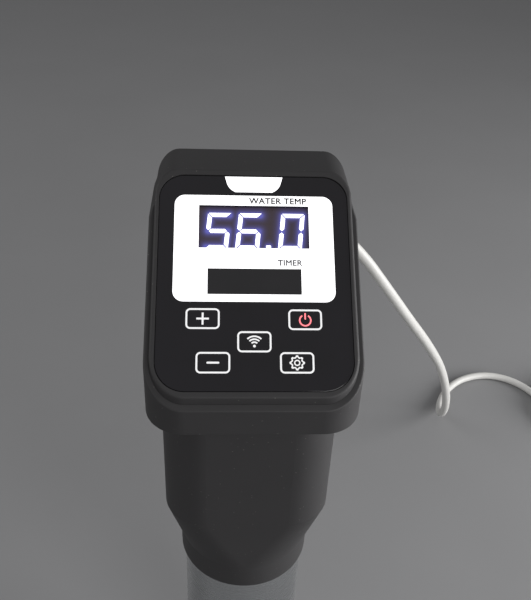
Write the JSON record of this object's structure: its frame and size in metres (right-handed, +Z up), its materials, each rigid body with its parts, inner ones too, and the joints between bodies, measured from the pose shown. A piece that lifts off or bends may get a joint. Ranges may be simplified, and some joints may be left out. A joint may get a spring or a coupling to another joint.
{
  "type": "sous vide circulator",
  "caption": "Handheld immersion circulator: sloping touch panel head on an oval neck, slotted steel sleeve over heater and impeller, screw pot clamp, mains lead.",
  "frame": {"origin": "centre of the bottom cap's flat underside, on the drive axis", "axes": "+Z up along the drive axis, -Y out of the front towards the user, +X to the user's right"},
  "size_m": [0.5015, 0.4027, 0.3865],
  "materials": {
    "black_shell": "soft-touch moulded black",
    "lens_black": "gloss tinted lens over a printed white panel",
    "tape_black": "adhesive foam gasket",
    "screw_steel": "zinc plated screw steel",
    "board_green": "solder-masked circuit board",
    "module_black": "filled digit module",
    "spring_steel": "plated contact spring",
    "shield_can": "tin plated shield can",
    "part_black": "black moulded component",
    "skirt_steel": "brushed stainless tube",
    "heater_steel": "annealed stainless sheath",
    "shaft_steel": "ground stainless bar",
    "seal_rubber": "silicone rubber",
    "grommet_rubber": "black damping rubber",
    "bush_polymer": "bearing polymer",
    "impeller_black": "glass filled moulded plastic",
    "can_zinc": "zinc plated pressed can",
    "magnet_dark": "bonded ferrite magnet",
    "armature_stack": "laminated core with varnished copper",
    "fan_white": "moulded fan plastic",
    "coil_yellow": "taped transformer core",
    "relay_blue": "moulded relay case",
    "capacitor_can": "sleeved aluminium can",
    "heatsink_black": "black anodised extrusion",
    "nut_brass": "turned brass insert",
    "pad_rubber": "non-marking pad rubber",
    "spindle_zinc": "rolled thread, zinc plated",
    "cord_white": "flexible white cord jacket",
    "relief_white": "moulded flexible relief",
    "pin_brass": "plated contact brass"
  },
  "bodies": {
    "housing": {"head_upper_shell": "black_shell", "head_lower_shell": "black_shell", "display_lens": "lens_black", "lens_tape": "tape_black", "shell_screws": "screw_steel", "head_screws": "screw_steel", "display_board": "board_green", "temp_led_module": "module_black", "timer_led_module": "module_black", "touch_pads": "spring_steel", "wifi_module": "shield_can", "buzzer": "part_black", "board_screws": "screw_steel", "neck_front_shell": "black_shell", "neck_rear_shell": "black_shell", "case_screws": "screw_steel", "collar_ring": "black_shell", "skirt_o_ring": "seal_rubber", "heater_plate": "skirt_steel", "heater_coil": "heater_steel", "temp_probe": "heater_steel", "level_probes": "heater_steel", "plate_screws": "screw_steel", "shaft_tube": "skirt_steel", "shaft_bush": "bush_polymer", "shaft_seal": "seal_rubber", "motor_grommets": "grommet_rubber", "motor_mount": "spindle_zinc", "mount_screws": "screw_steel", "motor_can": "can_zinc", "motor_magnets": "magnet_dark", "motor_end_cap": "part_black", "motor_bearings": "shaft_steel", "power_board": "board_green", "transformer": "coil_yellow", "relay": "relay_blue", "capacitors": "capacitor_can", "heatsink": "heatsink_black", "clamp_bracket": "black_shell", "bracket_screws": "screw_steel", "clamp_nut": "nut_brass", "jaw_pad": "pad_rubber", "strain_relief": "relief_white", "power_cord": "cord_white", "cord_coil": "cord_white", "plug_body": "relief_white", "plug_pins": "pin_brass"},
    "drive": {"motor_armature": "armature_stack", "motor_shaft": "shaft_steel", "shaft_coupling": "shaft_steel", "drive_shaft": "shaft_steel", "impeller": "impeller_black", "impeller_nut": "screw_steel", "cooling_fan": "fan_white"},
    "skirt_sleeve": {"skirt": "skirt_steel"},
    "cap": {"bottom_cap": "black_shell"},
    "clamp_jaw": {"clamp_pad": "pad_rubber"},
    "clamp_screw": {"clamp_spindle": "spindle_zinc", "clamp_knob": "black_shell"}
  },
  "joints": [
    {"name": "drive_spin", "type": "hinge", "parent": "housing", "child": "drive", "pos_m": [0, 0, 0.1], "axis": [0, 0, 1], "continuous": true},
    {"name": "skirt_slide", "type": "slide", "parent": "housing", "child": "skirt_sleeve", "axis": [0, 0, -1], "range_m": [0, 0.165]},
    {"name": "cap_twist", "type": "hinge", "parent": "skirt_sleeve", "child": "cap", "pos_m": [0, 0, 0.02], "axis": [0, 0, 1], "range_deg": [0, 20]},
    {"name": "jaw_slide", "type": "slide", "parent": "housing", "child": "clamp_jaw", "axis": [0, 1, 0], "range_m": [-0.013, 0.01]},
    {"name": "clamp_turn", "type": "hinge", "parent": "clamp_jaw", "child": "clamp_screw", "pos_m": [0, 0.07, 0.226], "axis": [0, 1, 0], "range_deg": [-1171, 901]}
  ],
  "couplings": [
    {"joint": "clamp_turn", "follows": "jaw_slide", "rad_per_m": 1570.8}
  ]
}
